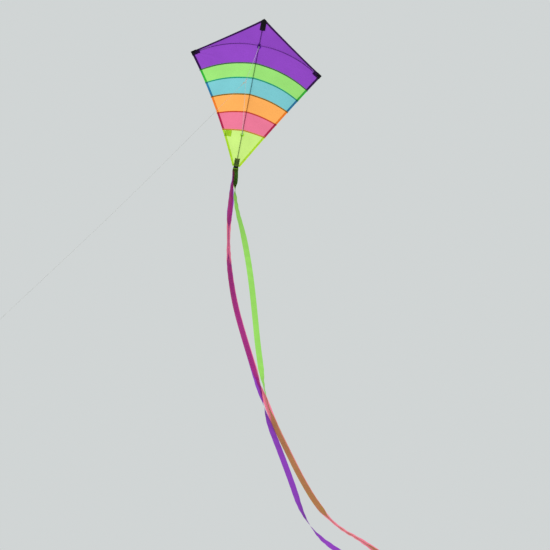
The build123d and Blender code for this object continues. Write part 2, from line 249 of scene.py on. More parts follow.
def soft_vinyl():
    """Black vinyl with a fine grain and rubbed places."""
    g = Graph("soft_vinyl")
    rubbed = g.noise(140.0, 4.0)
    shade = g.patchy(rubbed, 0.5, 0.8, (0.022, 0.022, 0.024), (0.0498, 0.0498, 0.0536))
    normal = g.bump(g.noise(900.0, 3.0), 0.05 * MM, 0.6)
    return g.finish(g.surface(shade, g.remap(rubbed, 0.3, 0.8, 0.6, 0.38), normal))


def clouded_vinyl():
    """Clear vinyl gone cloudy, that lets some light through."""
    g = Graph("clouded_vinyl")
    cloud = g.noise(190.0, 4.0)
    shade = g.patchy(cloud, 0.35, 0.7, (0.80, 0.80, 0.82), (0.66, 0.66, 0.67))
    normal = g.bump(cloud, 0.1 * MM, 0.5)
    body = g.surface(shade, g.remap(cloud, 0.3, 0.75, 0.28, 0.45), normal)
    return g.finish(g.mix(0.7, body, g.glow(shade, normal)))


def metal(name, colour, roughness):
    """Plated wire or turned brass, with fine draw marks and dull patches."""
    g = Graph(name)
    dull = g.noise(260.0, 4.0, 0.65)
    shade = g.patchy(dull, 0.5, 0.75, colour, [c * 0.72 for c in colour])
    rough = g.remap(dull, 0.35, 0.75, roughness, roughness + 0.22)
    normal = g.bump(g.noise((900.0, 900.0, 4000.0), 3.0, 0.5), 0.02 * MM, 0.4)
    return g.finish(g.surface(shade, rough, normal, {"Metallic": 1.0}))


# ---- meshes ----
class Bag:
    """Collects the vertices, faces and cloth coordinates of one piece."""

    def __init__(self):
        self.verts, self.faces, self.uvs = [], [], []
        self.kinds = {}  # the faces that take a material after the first

    def add(self, verts, faces, uvs=None, kind=0):
        """Adds vertices and the faces between them, and gives back the first one's index."""
        base = sum(len(v) for v in self.verts)
        verts = verts.reshape(-1, 3)
        if kind:
            self.kinds.update({len(self.faces) + i: kind for i in range(len(faces))})
        self.verts.append(verts)
        self.faces.extend([tuple(i + base for i in face) for face in faces])
        self.uvs.append(np.zeros((len(verts), 2)) if uvs is None else uvs.reshape(-1, 2))
        return base

    def grid(self, points, uvs=None, closed=False, kind=0):
        """A sheet from a grid of points, rows by columns; closed joins each row's ends."""
        rows, columns = points.shape[:2]
        faces = []
        for start in range(0, (rows - 1) * columns, columns):
            for j in range(columns - (0 if closed else 1)):
                this, other = start + j, start + (j + 1) % columns
                faces.append((this, other, other + columns, this + columns))
        return self.add(points, faces, uvs, kind)

    def make(self, name, body, slot, *materials, nodes=()):
        """The piece, which rides on a body and stands for CAD nodes; its slot is not used."""
        mesh = bpy.data.meshes.new(name)
        mesh.from_pydata(np.concatenate(self.verts).tolist(), [], self.faces)
        corners = np.zeros(len(mesh.loops), int)
        mesh.loops.foreach_get("vertex_index", corners)
        layer = mesh.uv_layers.new(name="cloth")
        layer.data.foreach_set("uv", np.concatenate(self.uvs)[corners].ravel())
        mesh.polygons.foreach_set("use_smooth", [True] * len(mesh.polygons))
        for material in materials:
            mesh.materials.append(material)
        for index, kind in self.kinds.items():
            mesh.polygons[index].material_index = kind
        mesh.update()
        obj = bpy.data.objects.new(name, mesh)
        bpy.context.scene.collection.objects.link(obj)
        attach(obj, body)
        if nodes:
            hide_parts(*nodes)
        return obj


def merge_close(obj):
    """Joins vertices that lie in one place."""
    mesh = bmesh.new()
    mesh.from_mesh(obj.data)
    bmesh.ops.remove_doubles(mesh, verts=mesh.verts, dist=1e-6)
    mesh.to_mesh(obj.data)
    mesh.free()


def unit(vectors):
    vectors = np.asarray(vectors, float)
    return vectors / np.maximum(np.linalg.norm(vectors, axis=-1, keepdims=True), 1e-12)


def spread(*coordinates):
    """Points from coordinates that are broadcast against each other."""
    return np.stack(np.broadcast_arrays(*coordinates), axis=-1)


def circle(angle, a, b):
    return np.cos(angle)[..., None] * a + np.sin(angle)[..., None] * b


def ease(share):
    return share * share * (3 - 2 * share)


def lengths(line):
    """The distance along a line to each of its points."""
    return np.concatenate([[0], np.cumsum(np.linalg.norm(np.diff(line, axis=0), axis=1))])


def resample(line, step):
    """Even steps down a line, and how far along it each one is."""
    along = lengths(line)
    at = np.linspace(0, along[-1], max(3, round(along[-1] / step) + 1))
    return np.stack([np.interp(at, along, values) for values in line.T], axis=1), at


def frames_along(line, start=(0.0, 0.0, 1.0)):
    """Two cross directions down a line, turned as little as they can be."""
    tangents = unit(np.gradient(line, axis=0))
    side = np.array(start)
    if abs(side @ tangents[0]) > 0.9:
        side = np.array([1.0, 0.0, 0.0])
    sides = []
    for tangent in tangents:
        side = unit(side - tangent * (side @ tangent))
        sides.append(side)
    return np.array(sides), np.cross(tangents, sides)


def tube(bag, line, radius, around=8, ends=True):
    a, b = frames_along(line)
    turn = np.linspace(0, FULL_TURN, around, endpoint=False)
    base = bag.grid(line[:, None] + radius * circle(turn, a[:, None], b[:, None]), closed=True)
    if ends:
        last = base + (len(line) - 1) * around
        bag.faces.append(tuple(base + around - 1 - i for i in range(around)))
        bag.faces.append(tuple(last + i for i in range(around)))


def two_skins(bag, first, second, uvs):
    """Two grids of points back to back, joined round their rims."""
    rows, columns = first.shape[:2]
    count = rows * columns
    rim = list(range(columns)) + [i * columns + columns - 1 for i in range(1, rows)]
    rim += [count - 1 - j for j in range(1, columns)]
    rim += [i * columns for i in range(rows - 2, 0, -1)]
    base = bag.grid(first, uvs)
    bag.grid(second[:, ::-1], uvs[:, ::-1])
    pairs = [(base + k, base + count + (k // columns + 1) * columns - 1 - k % columns) for k in rim]
    for (a, twin_a), (b, twin_b) in zip(pairs, pairs[1:] + pairs[:1]):
        bag.faces.append((b, a, twin_a, twin_b))


def nurbs_line(points):
    """The smooth line of a NURBS spline whose control points are a cord's route."""
    curve = bpy.data.curves.new("route", "CURVE")
    curve.dimensions = "3D"
    curve.resolution_u = 48
    spline = curve.splines.new("NURBS")
    spline.points.add(len(points) - 1)
    for control, point in zip(spline.points, points):
        control.co = (*point, 1.0)
    spline.order_u = 3
    spline.use_endpoint_u = True
    bare = bpy.data.objects.new("route", curve)
    mesh = bpy.data.meshes.new_from_object(bare)
    line = np.array([v.co for v in mesh.vertices], float)
    bpy.data.objects.remove(bare)
    bpy.data.meshes.remove(mesh)
    bpy.data.curves.remove(curve)
    return line


# ---- cords ----
BRIDLE_RADIUS = 0.8 * MM
BRAID_PITCH = 6.4 * MM
LINE_RADIUS = 0.5 * MM
LINE_ROUTE = [
    (-0.04237, -0.17681, -0.27423),
    (-0.29358, -0.55121, -0.83349),
    (-0.54479, -0.92560, -1.37274),
    (-0.796, -1.300, -1.892),
]
ring_low, ring_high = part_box("tow_ring")
RING = np.array((ring_low + ring_high) / 2)
RING_RADIUS = 5.4 * MM
RING_AXIS = np.array(JOINTS["snap_swing"]["axis"])
PULL = np.array(JOINTS["swivel_spin"]["axis"])
UPPER_TIE = np.array(JOINTS["bridle_swing"]["pos_m"])
LOWER_TIE = np.array([0.0, UPPER_TIE[1], -0.435])
TIES = {"upper": UPPER_TIE, "lower": LOWER_TIE}


def braid(bag, line, step):
    """The bridle's cord: four strands that cross over and under each other round a core."""
    line, along = resample(line, step)
    a, b = frames_along(line)
    turn = FULL_TURN * along / BRAID_PITCH
    for way, start in ((1, 0.0), (1, math.pi), (-1, math.pi / 2), (-1, 3 * math.pi / 2)):
        out = BRIDLE_RADIUS * (0.5 + 0.13 * way * np.sin(2 * turn))
        strand = line + out[:, None] * circle(way * turn + start, a, b)
        tube(bag, strand, 0.37 * BRIDLE_RADIUS, 6)
    tube(bag, line, 0.4 * BRIDLE_RADIUS, 6)
    return line


def laid_cord(bag, line, pitch, step, around=6):
    """The flying line: three strands twisted round each other."""
    line, along = resample(line, step)
    a, b = frames_along(line)
    for k in range(3):
        angle = FULL_TURN * (along / pitch + k / 3)
        tube(bag, line + 0.5 * LINE_RADIUS * circle(angle, a, b), 0.5 * LINE_RADIUS, around)
    return line


def wraps(bag, start, direction, length, inner, cord, turns):
    """A cord wound in close turns round an axis, as the barrel of a knot."""
    direction = unit(direction)
    side = unit(np.cross(direction, (0.31, 0.22, 0.93)))
    other = np.cross(direction, side)
    share = np.linspace(0, 1, int(turns * 16) + 1)
    swell = inner + cord + 0.15 * cord * np.sin(share * math.pi)
    line = start + np.outer(cord + share * (length - 2 * cord), direction)
    tube(bag, line + swell[:, None] * circle(FULL_TURN * turns * share, side, other), cord, 6)


def stadium(start, along, across, half_width, length):
    """The closed line of a long loop, from its near end."""
    half = np.linspace(-math.pi / 2, math.pi / 2, 20)
    turn = np.concatenate([half, half + math.pi, half[:1]])[:, None]
    middle = np.repeat([length - half_width, half_width, length - half_width], [20, 20, 1])[:, None]
    flat = half_width * np.hstack([np.cos(turn), np.sin(turn)]) + middle * (1, 0)
    return start + flat[:, :1] * unit(along) + flat[:, 1:] * unit(across)


def make_bridle(material):
    """Both legs, each with a knot at its tie and a knotted loop round the tow ring."""
    turn = np.linspace(0, FULL_TURN, 33)
    for side, anchor in TIES.items():
        away = unit(anchor - RING)
        on_wire = RING + away * RING_RADIUS
        end = on_wire + away * 2.6 * MM
        middle = (anchor + end) / 2 + np.array([0, 0, -0.8 * MM])
        bag = Bag()
        path = braid(bag, nurbs_line([anchor, middle, end]), 0.55 * MM)
        name = f"bridle_{side}_leg"
        leg = bag.make(f"{name}_cord", "bridle", "bridle_cord", material, nodes=[name])
        ends = Bag()
        tube(ends, on_wire + 1.95 * MM * circle(turn, away, RING_AXIS), 0.72 * MM, ends=False)
        wraps(ends, on_wire + away * 2.2 * MM, away, 5.6 * MM, 0.7 * MM, 0.62 * MM, 4)
        wraps(ends, anchor - away * 0.2 * MM, -away, 3.2 * MM, 0.55 * MM, 0.62 * MM, 2.5)
        knots = ends.make(f"bridle_{side}_knots", "bridle", "bridle_cord", material)
        tuple(anchor)
        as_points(path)


def make_ties(material):
    """The cord's turns round the spine and its short way out through the sail."""
    radius = 2.95 * MM
    turn = np.linspace(0, FULL_TURN * 2.2, 60)
    rise = (turn / turn[-1] - 0.5) * 3.2 * MM
    for side, anchor in TIES.items():
        bag = Bag()
        coil = spread(radius * np.sin(turn), -radius * np.cos(turn), anchor[2] + rise)
        tube(bag, coil, BRIDLE_RADIUS)
        out = np.linspace((0, -radius, anchor[2]), (0, anchor[1] + 0.6 * MM, anchor[2]), 8)
        braid(bag, out, 0.5 * MM)
        name = f"{side}_tie"
        bag.make(f"{name}_cord", "kite", "bridle_cord", material, nodes=[name])


def make_line(material):
    """The flying line, with a knot and a loop at each end."""

    def make(bag, name, node):
        return bag.make(name, "line", "flying_line", material, nodes=[node])

    bag = Bag()
    path = laid_cord(bag, nurbs_line(LINE_ROUTE), 8 * MM, 1.0 * MM, around=5)
    line = make(bag, "flying_line_cord", "flying_line")
    away = unit(path[-1] - path[-4])
    near_across = np.cross(unit(RING_AXIS - PULL * (RING_AXIS @ PULL)), PULL)
    far_across = np.cross(away, (0, 0, 1))
    # name, where the knot starts, way along, way across, then the loop's distance from the
    # knot's start, half width, length, pitch and step in millimetres
    for word, at, way, across, gap, half_width, length, pitch, step in (
        ("line", path[0] - PULL * 5.0 * MM, PULL, near_across, -12.5, 2.6, 12, 4, 0.5),
        ("hand", path[-1], away, far_across, 5.5, 9, 52, 5, 0.7),
    ):
        knot, loop = Bag(), Bag()
        wraps(knot, at, way, 5.0 * MM, 0.7 * LINE_RADIUS, 0.5 * MM, 4.5)
        make(knot, f"{word}_knot_wraps", f"{word}_knot")
        ring = stadium(at + way * gap * MM, way, across, half_width * MM, length * MM)
        laid_cord(loop, ring, pitch * MM, step * MM)
        make(loop, f"{word}_loop_cord", f"{word}_loop")
    tuple(path[0])
    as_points(path)


# ---- the sail's surface ----
SAIL_BOW = SAIL_TOP.y + 4.0 * MM
TIP_Z = -60.3 * MM
SPREADER_BACK = 4.6 * MM
BOW_HALF_SPAN = 283 * MM
BOW_TO = np.array([0.0, 74.5, -66.0]) * MM  # from the middle of the spreader to its ends' line
TAIL_HALF_WIDTH = 16.5 * MM
SEAMS = {  # each band's top edge: its height on the spine, and its radius
    "green": (-0.090, 0.570), "turquoise": (-0.160, 0.510), "orange": (-0.239, 0.490),
    "pink": (-0.323, 0.440), "lime": (-0.4105, 0.700),
}
BAND_NAMES = ["purple", *SEAMS]
LEADING_HOLLOW = 5.2 * MM
LOWER_HOLLOWS = {-1: 14.5 * MM, 1: 2.5 * MM}  # the left edge is drawn in, the right one is taut
UPPER_BULGE, LOWER_BULGE = 5 * MM, 9 * MM
EDGE_POINTS = 160
TAUT = 0.7  # 0: one even bow, 1: cloth pulled straight from the spreader to nose and tail
BOW_RADIUS = (TIP_X**2 + SAIL_BOW**2) / (2 * SAIL_BOW)


def even_bow(x):
    return MID_Y + BOW_RADIUS - np.sqrt(BOW_RADIUS**2 - x * x)


def along_spreader(s):
    """Where the cloth lies over the spreader, s from the spine to the wing tip."""
    lift = 0.5 + 7.0 * np.clip(1 - (np.sqrt(s * s + 0.0004) - 0.02) / 0.3, 0, 1) ** 2
    lift = lift + 3.1 * np.clip((s - 0.86) / 0.14, 0, 1) ** 2
    return 3.1 * MM + 81.5 * MM * s * s - lift * MM


def pulled(r, s, bulge):
    """Cloth pulled straight from the spreader (r = 1) to the nose or tail (r = 0), and then
    blown back by a bulge between them."""
    return MID_Y + r * (along_spreader(s) - MID_Y) + bulge * 16 * r * (1 - r) * s * (1 - s)


def stretched(x, z):
    """Cloth pulled from the spreader to the nose above it, and to the tail below it."""
    drop = -BOW_TO[2]
    below_nose = np.maximum(NOSE_Z - z, 1e-6)
    k = np.minimum(x / below_nose, 1.62)
    root = np.sqrt(np.maximum(TIP_X**2 - 4 * k * k * drop * NOSE_Z, 1e-6))
    s = np.clip(2 * k * NOSE_Z / (TIP_X + root), 0, 1.02)
    r = below_nose / (NOSE_Z + drop * s * s)
    upper = pulled(r, s, UPPER_BULGE)
    high = r <= 1
    r = np.clip((z - TAIL_Z) / -TAIL_Z, 0, 1)
    for _ in range(12):  # r and s depend on each other
        s = np.clip(x / (TAIL_HALF_WIDTH + (TIP_X - TAIL_HALF_WIDTH) * r), 0, 1.02)
        r = np.clip((z - TAIL_Z) / (-drop * s * s - TAIL_Z), 0, 1)
    return np.where(high, upper, pulled(r, s, LOWER_BULGE))


def creases(x, z):
    """Small folds that run in from the corners where the cloth is pulled."""
    out = np.zeros_like(z)
    # the corner, how many folds, their reach, height in millimetres and phase
    for cx, cz, count, reach, height, start in (
        (0.0, NOSE_Z, 15, 0.075, 0.45, 0.3), (TIP_X, TIP_Z, 21, 0.11, 0.7, 1.2),
        (-TIP_X, TIP_Z, 21, 0.11, 0.7, 2.1), (0.0, TAIL_Z, 17, 0.10, 0.6, 0.8),
    ):
        far = np.hypot(x - cx, z - cz)
        angle = np.arctan2(z - cz, x - cx)
        fade = np.clip(far / 0.02, 0, 1) * np.exp(-((far / reach) ** 2))
        wave = np.sin(count * angle + start) + 0.6 * np.sin(1.7 * count * angle + 2 * start + 1)
        out = out + height * MM * fade * wave
    slow = np.sin(31 * x + 1.3) * np.sin(23 * z + 0.4) + 0.6 * np.sin(57 * x - 41 * z + 2.0)
    return out + 0.35 * MM * slow * np.clip(np.abs(x) / 0.02, 0, 1)


def sail_y(x, z):
    x, z = np.broadcast_arrays(np.asarray(x, float), np.asarray(z, float))
    wide = np.abs(x)
    base = (1 - TAUT) * even_bow(np.minimum(wide, 0.32)) + TAUT * stretched(wide, z)
    return base + creases(x, z)


def on_sail(x, z, depth=0.0):
    """Points on the sail, moved back from its front face by a depth."""
    x, z = np.broadcast_arrays(np.asarray(x, float), np.asarray(z, float))
    h = 0.6 * MM
    slope_x = (sail_y(x + h, z) - sail_y(x - h, z)) / (2 * h)
    slope_z = (sail_y(x, z + h) - sail_y(x, z - h)) / (2 * h)
    back = unit(spread(-slope_x, 1.0, -slope_z))
    return spread(x, sail_y(x, z), z) + np.asarray(depth)[..., None] * back


def edge_line(start, end, hollow):
    """One edge of the sail as (x, z) points, curving in from a straight line."""
    start, end = np.array(start), np.array(end)
    run = end - start
    inward = unit(np.array([run[1], -run[0]]))
    s = np.linspace(0, 1, EDGE_POINTS)[:, None]
    return start + run * s + inward * 4 * hollow * s * (1 - s)


LEADING = edge_line((0.0, NOSE_Z), (TIP_X, TIP_Z), LEADING_HOLLOW)
LOWER = {
    side: edge_line((TIP_X, TIP_Z), (TAIL_HALF_WIDTH, TAIL_Z), hollow)
    for side, hollow in LOWER_HOLLOWS.items()
}


def leading_z(x):
    return np.interp(np.abs(x), LEADING[:, 0], LEADING[:, 1])


def lower_z(x):
    """The sail's lowest point at a distance to the right of the spine."""
    left, right = (np.interp(np.abs(x), LOWER[k][::-1, 0], LOWER[k][::-1, 1]) for k in BOTH)
    low = np.where(np.asarray(x) < 0, left, right)
    return np.where(np.abs(x) < TAIL_HALF_WIDTH, TAIL_Z, low)


def seam_z(name, x):
    top, radius = SEAMS[name]
    return top - radius + np.sqrt(radius**2 - np.minimum(np.abs(x), 0.4) ** 2)


def seam_end(name, side):
    """How far from the spine a seam meets the sail's lower edge on one side."""
    x = np.linspace(TAIL_HALF_WIDTH, TIP_X, 4000)
    return float(x[np.argmax(lower_z(side * x) > seam_z(name, x)) - 1])


# the fold of a hem or seam: (distance in from the edge, depth behind the front face)
HEM = MM * np.array([
    (0.1, -0.02), (-0.15, 0.12), (0.1, 0.30), (9.0, 0.30), (9.2, 0.42), (9.0, 0.54), (0.9, 0.54),
])
SEAM = MM * np.array([
    (-0.4, 0.02), (0.4, 0.28), (5.8, 0.28), (6.0, 0.40), (5.8, 0.52), (0.5, 0.52),
])
HEM_KIND, SEAM_KIND = 1, 2
PANEL_CELL = 4.2 * MM
TIP_CELL = 3.4 * MM


def fold(bag, curve, inward, profile, kind=0):
    """A folded strip of cloth along a curve of (x, z) points on the sail."""
    flat = curve[:, None] + profile[None, :, :1] * inward[:, None]
    uvs = spread(lengths(curve)[:, None], profile[None, :, 0])
    bag.grid(on_sail(flat[..., 0], flat[..., 1], profile[None, :, 1]), uvs, kind=kind)


def inward_of(curve, side):
    run = np.gradient(curve, axis=0)
    return unit(np.stack([run[:, 1], -run[:, 0]], axis=1)) * side


def mirrored(curve, side):
    return curve * np.array([side, 1.0])


def fold_edge(bag, edge, side, profile, kind=0):
    """A fold along a stretch of the sail's right edge, or of its mirror image."""
    curve = mirrored(edge, side)
    fold(bag, curve, inward_of(curve, side), profile, kind)


def part_of(curve, top, bottom):
    """The stretch of an edge between two heights, with its exact ends."""
    keep = curve[(curve[:, 1] < top) & (curve[:, 1] > bottom)]
    ends = [[np.interp(-z, -curve[:, 1], curve[:, 0]), z] for z in (top, bottom)]
    return np.concatenate([ends[:1], keep, ends[1:]])


def make_panel(index, materials):
    """One band: a single cloth, hemmed at its free edges and lapped behind the band below."""
    name = BAND_NAMES[index]
    below = BAND_NAMES[index + 1] if index + 1 < len(BAND_NAMES) else None
    reach = {side: TIP_X if index == 0 else seam_end(name, side) for side in BOTH}
    inner = {side: TAIL_HALF_WIDTH if below is None else seam_end(below, side) for side in BOTH}

    def top(x):
        return leading_z(x) if index == 0 else seam_z(name, x)

    def bottom(x):
        return lower_z(x) if below is None else np.maximum(lower_z(x), seam_z(below, x))

    half = {}
    for side in BOTH:
        near, far = inner[side], reach[side]
        half[side] = side * np.concatenate([
            np.linspace(0, near, max(4, round(near / PANEL_CELL)), endpoint=False),
            np.linspace(near, far, max(4, round((far - near) / TIP_CELL))),
        ])
    x = np.concatenate([half[-1][:0:-1], half[1]])
    rows = max(6, round((top(0.0) - bottom(0.0)) / PANEL_CELL))
    share = np.linspace(0, 1, rows + 1)[:, None]
    z = top(x)[None] + share * (bottom(x) - top(x))[None]
    bag = Bag()
    bag.grid(on_sail(x, z), spread(x, z))
    body_area = float(np.trapz(top(x) - bottom(x), x))

    for side in BOTH:
        if index == 0:
            fold_edge(bag, LEADING[1:-1], side, HEM, HEM_KIND)
        high = TIP_Z if index == 0 else float(seam_z(name, reach[side]))
        low = TAIL_Z if below is None else float(seam_z(below, inner[side]))
        edge = part_of(LOWER[side], high - 0.1 * MM, low + 0.1 * MM)
        fold_edge(bag, edge, side, HEM, HEM_KIND)
    if below is None:
        x = np.linspace(-inner[-1], inner[1], 14)
        fold(bag, spread(x, TAIL_Z), spread(0 * x, 1), HEM, HEM_KIND)
    else:
        x = np.linspace(-inner[-1], inner[1], round((inner[-1] + inner[1]) / PANEL_CELL) + 1)
        fold(bag, spread(x, seam_z(below, x)), spread(0 * x, -1), SEAM, SEAM_KIND)
    slot = f"sail_{name}"
    panel = bag.make(slot, "kite", slot, *materials, nodes=[f"panel_{name}"])
    merge_close(panel)

    if index == 0:
        height = NOSE_Z - float(seam_z(below, max(inner.values()))) + 20 * MM
    elif below is None:
        height = float(seam_z(name, 0.0)) - TAIL_Z + 40 * MM
    else:
        height = float(top(0.0) - bottom(0.0)) + 140 * MM


# ---- patches and pockets ----
PATCH_CELL = 2.5 * MM
STRAP_ROWS, STRAP_COLUMNS = 34, 41
STRAP_FOOT = 69.5
NOSE_STRAP = [(-12, STRAP_FOOT), (12, STRAP_FOOT), (12, 116.4), (0.0, 123.8), (-12, 116.4)]
BINDING = MM * np.array([
    (3.0, -1.2), (0.2, -1.3), (-0.9, -0.9), (-1.1, 0.3), (-0.9, 1.5), (0.2, 2.0), (3.0, 1.9),
])
BOW_DEPTH = float(np.linalg.norm(BOW_TO))
ROD_RADIUS = (BOW_HALF_SPAN**2 + BOW_DEPTH**2) / (2 * BOW_DEPTH)
WING_PATCH = [(-22, -11), (30, -11), (30, 11), (-22, 11)]  # along and across the spreader's end
LABEL_CENTRE = np.array([-61.8, -434.0]) * MM
LABEL_SIZE = 29 * MM
# an eyelet patch from its rim to its hole: (radius, depth)
EYELET = MM * np.array([
    (9.0, -0.08), (9.0, -0.3), (8.7, -0.4), (6.0, -0.4), (3.4, -0.42), (1.9, -0.55),
    (1.3, -0.4), (1.3, -0.08),
])


def sewn_patch(bag, outline, front, back):
    """A flat cut piece, given by its (x, z) corners, lying on the sail between two depths."""
    mesh = bmesh.new()
    mesh.faces.new([mesh.verts.new((x, 0, z)) for x, z in outline])
    low, high = outline.min(0), outline.max(0)
    for axis, across in enumerate(((1, 0, 0), (0, 0, 1))):
        for at in np.arange(low[axis] + PATCH_CELL, high[axis] - 0.3 * PATCH_CELL, PATCH_CELL):
            everything = mesh.verts[:] + mesh.edges[:] + mesh.faces[:]
            place = [at * c for c in across]
            bmesh.ops.bisect_plane(mesh, geom=everything, plane_co=place, plane_no=across)
    bmesh.ops.remove_doubles(mesh, verts=mesh.verts, dist=1e-5)
    mesh.verts.index_update()
    flat = np.array([(v.co.x, v.co.z) for v in mesh.verts])
    faces = [[v.index for v in face.verts] for face in mesh.faces]
    rim = []
    for edge in (e for e in mesh.edges if e.is_boundary):
        a, b = (v.index for v in edge.verts)
        order = [v.index for v in edge.link_faces[0].verts]
        rim.append((b, a) if order[(order.index(a) + 1) % len(order)] == b else (a, b))
    mesh.free()
    count = len(flat)
    faces += [[i + count for i in reversed(face)] for face in faces]
    faces += [(a, b, b + count, a + count) for a, b in rim]
    verts = np.concatenate([on_sail(*flat.T, depth) for depth in (front, back)])
    bag.add(verts, faces, np.concatenate([flat, flat]))


def soften(obj, width):
    bevel = obj.modifiers.new("soft_edges", "BEVEL")
    bevel.width = width
    bevel.segments = 2
    bevel.limit_method = "ANGLE"
    bevel.angle_limit = math.radians(50)
    normals = obj.modifiers.new("normals", "WEIGHTED_NORMAL")
    normals.keep_sharp = True


def make_pocket(bag, name, node, material):
    soften(bag.make(name, "kite", "webbing_black", material, nodes=[node]), 0.22 * MM)


def strap_over_spine(bag, near, far, half_width, close_from):
    """Tape sewn behind the sail and raised over the spine's end cap, closed beyond it."""
    z = np.linspace(near, far, STRAP_ROWS)[:, None]
    toward = 1 if far > near else -1
    edge = np.interp(-z, -LEADING[:, 1], LEADING[:, 0]) if toward > 0 else np.full_like(z, 1.0)
    half = np.minimum(half_width, np.maximum(edge - 0.3 * MM, 0.4 * MM))
    x = np.linspace(-toward, toward, STRAP_COLUMNS)[None] * half
    beyond = np.clip((z - close_from) * toward / (abs(far - close_from) - 0.5 * MM), 0, 1)
    closing = 0.5 * (1 + np.cos(math.pi * beyond))
    raised = np.minimum(8.6 * MM, 0.85 * half)
    bump = 0.5 * (1 + np.cos(math.pi * np.clip(np.abs(x) / raised, 0, 1) ** 1.25)) * closing
    skin = on_sail(x, z, 0.75 * MM)
    crown = 2.85 * MM + 0.25 * MM * np.sin(210 * z) * np.cos(90 * x)
    skin[..., 1] += bump * (crown - skin[..., 1])
    normal = unit(np.cross(np.gradient(skin, axis=0), np.gradient(skin, axis=1)))
    normal = normal * np.where(normal[..., 1:2] < 0, -1, 1)
    two_skins(bag, skin, skin + normal * 1.1 * MM, spread(x, z))


def make_nose_pocket(material):
    bag = Bag()
    sewn_patch(bag, np.array(NOSE_STRAP) * MM, -1.2 * MM, -0.1 * MM)
    strap_over_spine(bag, STRAP_FOOT * MM, 123.2 * MM, 12 * MM, 118.8 * MM)
    for side in BOTH:
        edge = resample(LEADING[LEADING[:, 0] < 12.4 * MM], 1.2 * MM)[0]
        fold_edge(bag, edge, side, BINDING)
    make_pocket(bag, "nose_webbing", "nose_pocket", material)


def make_tail_pocket(material):
    bag = Bag()
    strap_over_spine(bag, TAIL_Z + 39 * MM, TAIL_Z + 0.6 * MM, 11 * MM, TAIL_Z + 5.2 * MM)
    make_pocket(bag, "tail_webbing", "tail_pocket", material)


def on_rod(distance, side):
    """A point on the spreader's axis, that far past its end."""
    angle = math.asin(BOW_HALF_SPAN / ROD_RADIUS) + distance / ROD_RADIUS
    out = np.array([side * ROD_RADIUS * math.sin(angle), SPREADER_BACK, 0.0])
    return out + ROD_RADIUS * (1 - math.cos(angle)) * BOW_TO / BOW_DEPTH


def sleeve(bag, side):
    """A tapering sleeve over the spreader's cap, pinched nearly flat at its outer end."""
    steps = np.linspace(-14.5 * MM, 3.6 * MM, 26)
    line = np.array([on_rod(d, side) for d in steps])
    a, b = (v[:, None] * MM for v in frames_along(line, start=(0.0, 1.0, 0.0)))
    turn = np.linspace(0, FULL_TURN, 32, endpoint=False)
    pinch = np.clip((steps - 1.9 * MM) / (1.7 * MM), 0, 1)[:, None, None] ** 1.5
    uvs = spread(turn[None] * 3.4 * MM, steps[:, None])
    bases = []
    # each skin's radius, and its half depth and half width where it is pinched
    for radius, half_depth, half_width, way in ((3.4, 1.05, 4.3, 1), (2.3, 0.35, 3.0, -1)):
        deep = radius + (half_depth - radius) * pinch
        wide = radius + (half_width - radius) * pinch
        rings = line[:, None] + circle(turn, deep * a, wide * b)
        bases.append(bag.grid(rings[:, ::way], uvs, closed=True))
    count = len(turn)
    for row in (0, len(steps) - 1):
        outer, inner = (base + row * count for base in bases)
        for k in range(count):
            n = (k + 1) % count
            face = (outer + n, outer + k, inner + count - 1 - k, inner + count - 1 - n)
            bag.faces.append(face[::-1] if row else face)


def make_wing_pocket(side, material):
    """A sleeve over the spreader's cap on a patch behind the sail, and a corner in front."""
    word = "right" if side > 0 else "left"
    lower = LOWER[side]
    bag = Bag()
    start, middle, end = (on_rod(d * MM, 1)[[0, 2]] for d in (-17, -6, 5))
    along = unit(end - start)
    over = np.array([-along[1], along[0]])
    patch = np.array([middle + a * MM * along + b * MM * over for a, b in WING_PATCH])
    sewn_patch(bag, mirrored(clip_to_sail(patch, lower), side), 0.7 * MM, 1.8 * MM)
    corner = wing_corner(lower)
    sewn_patch(bag, mirrored(corner, side), -1.2 * MM, -0.1 * MM)
    for edge in (LEADING[LEADING[:, 0] > corner[1][0]], lower[lower[:, 1] > corner[2][1]]):
        fold_edge(bag, resample(edge, 1.5 * MM)[0], side, BINDING)
    sleeve(bag, side)
    make_pocket(bag, f"wing_webbing_{word}", f"wing_pocket_{word}", material)


def clip_to_sail(points, lower):
    """The part of a right-hand corner patch, as (x, z), that lies on the sail."""
    tip = LEADING[-1]
    kept = [tuple(p) for p in points]
    for a, b in ((LEADING[-26], tip), (tip, lower[16])):
        edge = b - a
        result = []
        for p, q in zip(kept, kept[1:] + kept[:1]):
            past_p, past_q = (edge[0] * (c[1] - a[1]) - edge[1] * (c[0] - a[0]) for c in (p, q))
            if past_p <= 0:
                result.append(p)
            if past_p * past_q < 0:
                t = past_p / (past_p - past_q)
                result.append((p[0] + t * (q[0] - p[0]), p[1] + t * (q[1] - p[1])))
        kept = result or kept
    return np.array(kept)


def wing_corner(lower):
    """The triangle of tape at a wing tip: its tip, leading-edge and lower corners."""
    corners = [(TIP_X - 0.5 * MM, TIP_Z)]
    for edge, tip in ((LEADING, LEADING[-1]), (lower, lower[0])):
        corners.append(edge[np.argmin(np.abs(np.hypot(*(edge - tip).T) - 24 * MM))])
    return np.array(corners)


def label_outline(inset=0.0):
    h = LABEL_SIZE / 2 - inset
    return LABEL_CENTRE + np.array([(-h, -h), (h, -h), (h, h), (-h, h)])


def make_label(material):
    bag = Bag()
    sewn_patch(bag, label_outline(), -0.34 * MM, -0.1 * MM)
    label = bag.make("label_cloth_patch", "kite", "label_cloth", material, nodes=["label_patch"])
    soften(label, 0.06 * MM)


